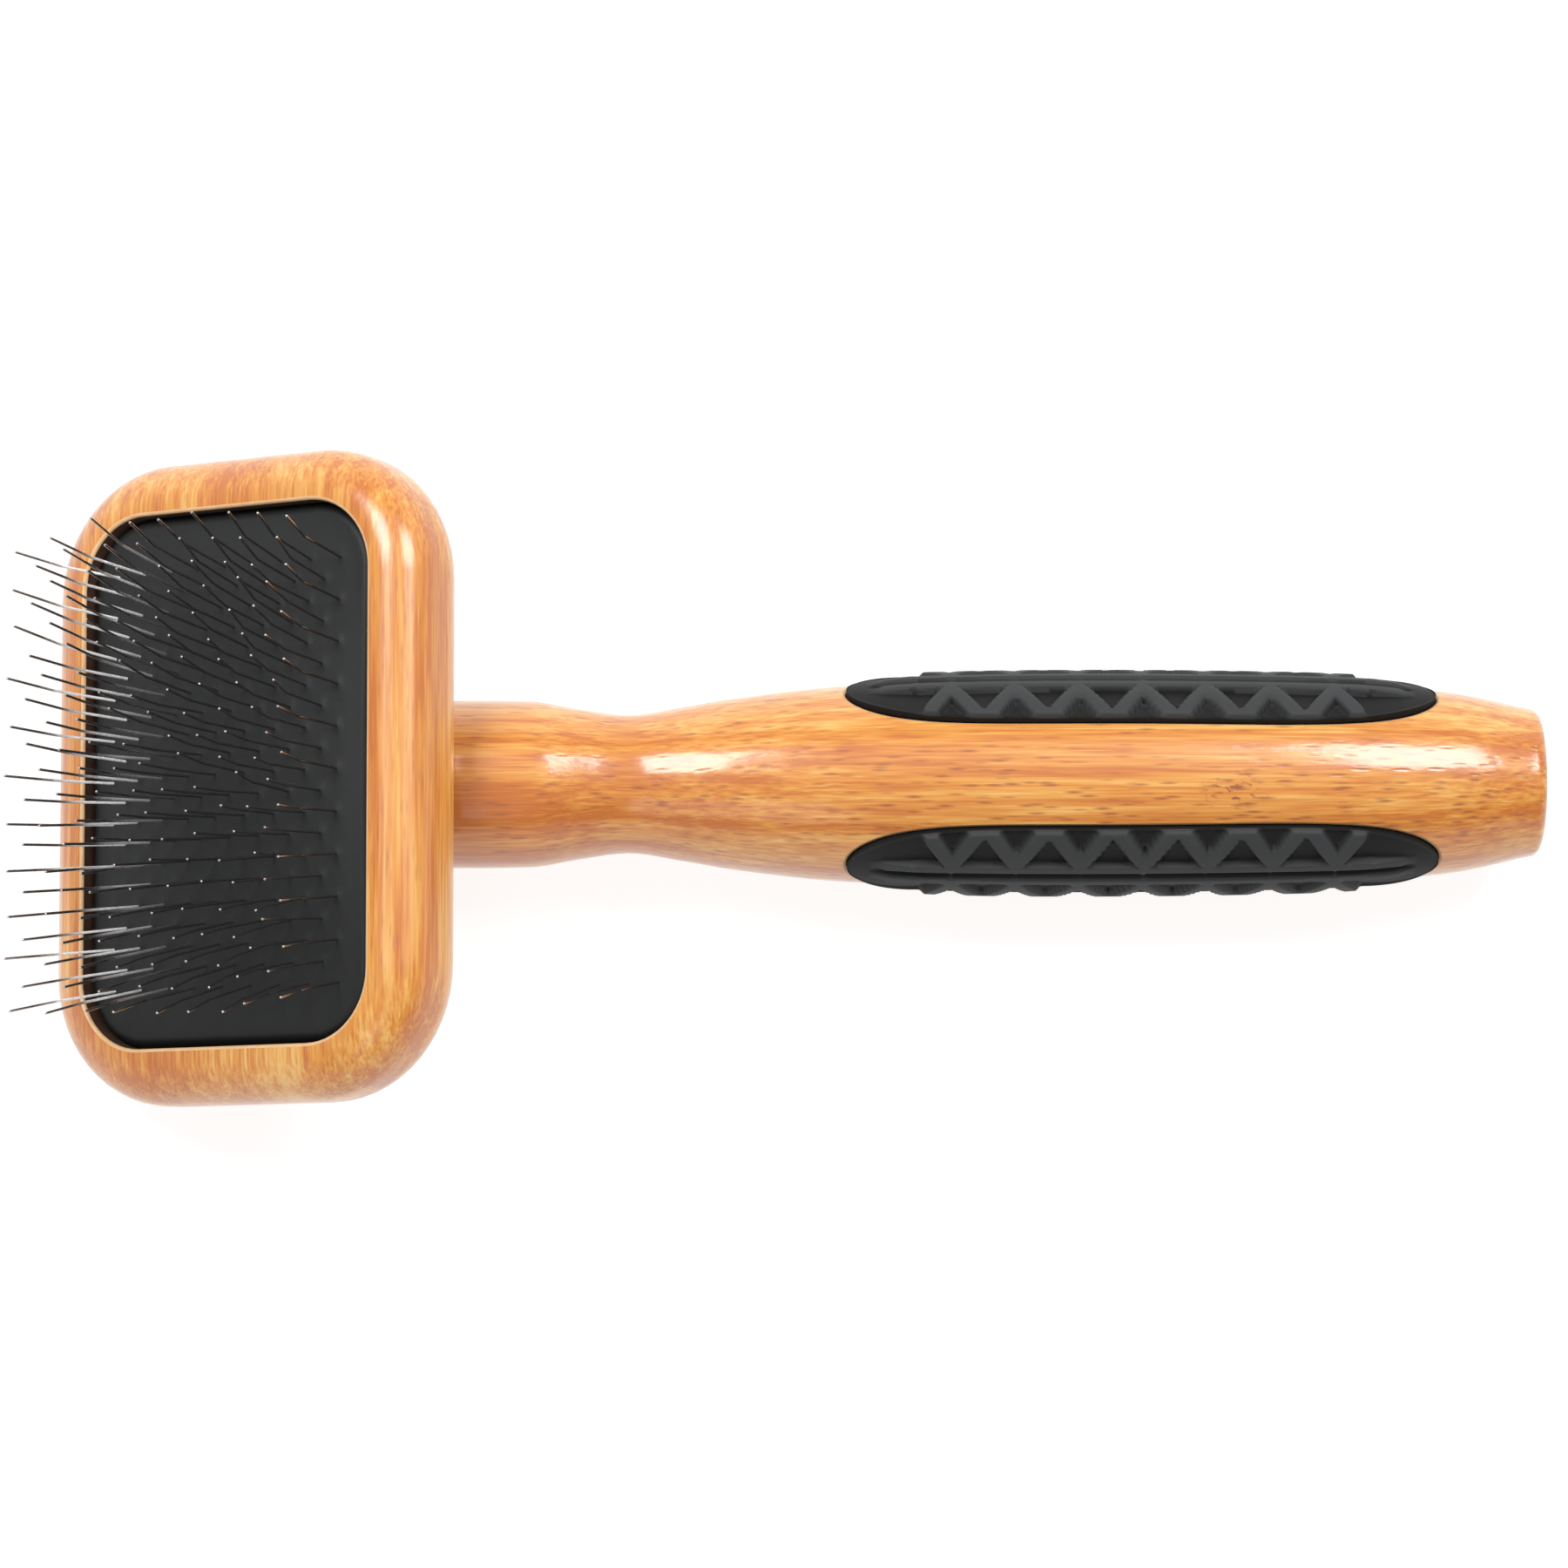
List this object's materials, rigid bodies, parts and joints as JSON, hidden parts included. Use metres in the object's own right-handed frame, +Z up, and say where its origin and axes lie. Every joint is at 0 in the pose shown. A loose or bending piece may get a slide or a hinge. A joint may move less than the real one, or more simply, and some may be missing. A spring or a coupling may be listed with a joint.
{
  "type": "slicker brush",
  "caption": "T-shaped pet slicker brush: bamboo head with a sprung pad of bent wire pins, on a slanted turned bamboo handle with rubber grips.",
  "frame": {"origin": "bottom centre of the brush's box as it lies with its pins up, its back grip on the floor", "axes": "+X along the handle's axis from head to butt, +Z up, pins up; the XZ plane is the plane of symmetry"},
  "size_m": [0.2236, 0.0944, 0.0585],
  "materials": {
    "bamboo": "clear glossy lacquer over caramel bamboo",
    "grip_rubber": "satin moulded black rubber",
    "pad_rubber": "smooth satin black rubber",
    "pin_steel": "drawn stainless wire",
    "foam": "open-cell foam, hidden",
    "canvas": "woven backing cloth, hidden",
    "screw_steel": "zinc-plated, hidden"
  },
  "bodies": {
    "brush_body": {"head_block": "bamboo", "handle": "bamboo", "grip_left": "grip_rubber", "grip_right": "grip_rubber", "grip_back": "grip_rubber", "handle_screw_1": "screw_steel", "handle_screw_2": "screw_steel", "foam_core": "foam"},
    "pin_pad": {"canvas_backing": "canvas", "rubber_face": "pad_rubber", "pin_row_01": "pin_steel", "pin_row_02": "pin_steel", "pin_row_03": "pin_steel", "pin_row_04": "pin_steel", "pin_row_05": "pin_steel", "pin_row_06": "pin_steel", "pin_row_07": "pin_steel", "pin_row_08": "pin_steel", "pin_row_09": "pin_steel", "pin_row_10": "pin_steel", "pin_row_11": "pin_steel", "pin_row_12": "pin_steel", "pin_row_13": "pin_steel", "pin_row_14": "pin_steel", "pin_row_15": "pin_steel", "pin_row_16": "pin_steel", "pin_row_17": "pin_steel", "pin_row_18": "pin_steel", "pin_row_19": "pin_steel", "pin_row_20": "pin_steel", "pin_row_21": "pin_steel"}
  },
  "joints": [
    {"name": "pad_press", "type": "slide", "parent": "brush_body", "child": "pin_pad", "axis": [0.524, 0, -0.8517], "range_m": [0, 0.002], "stiffness_N_per_m": 4000}
  ]
}
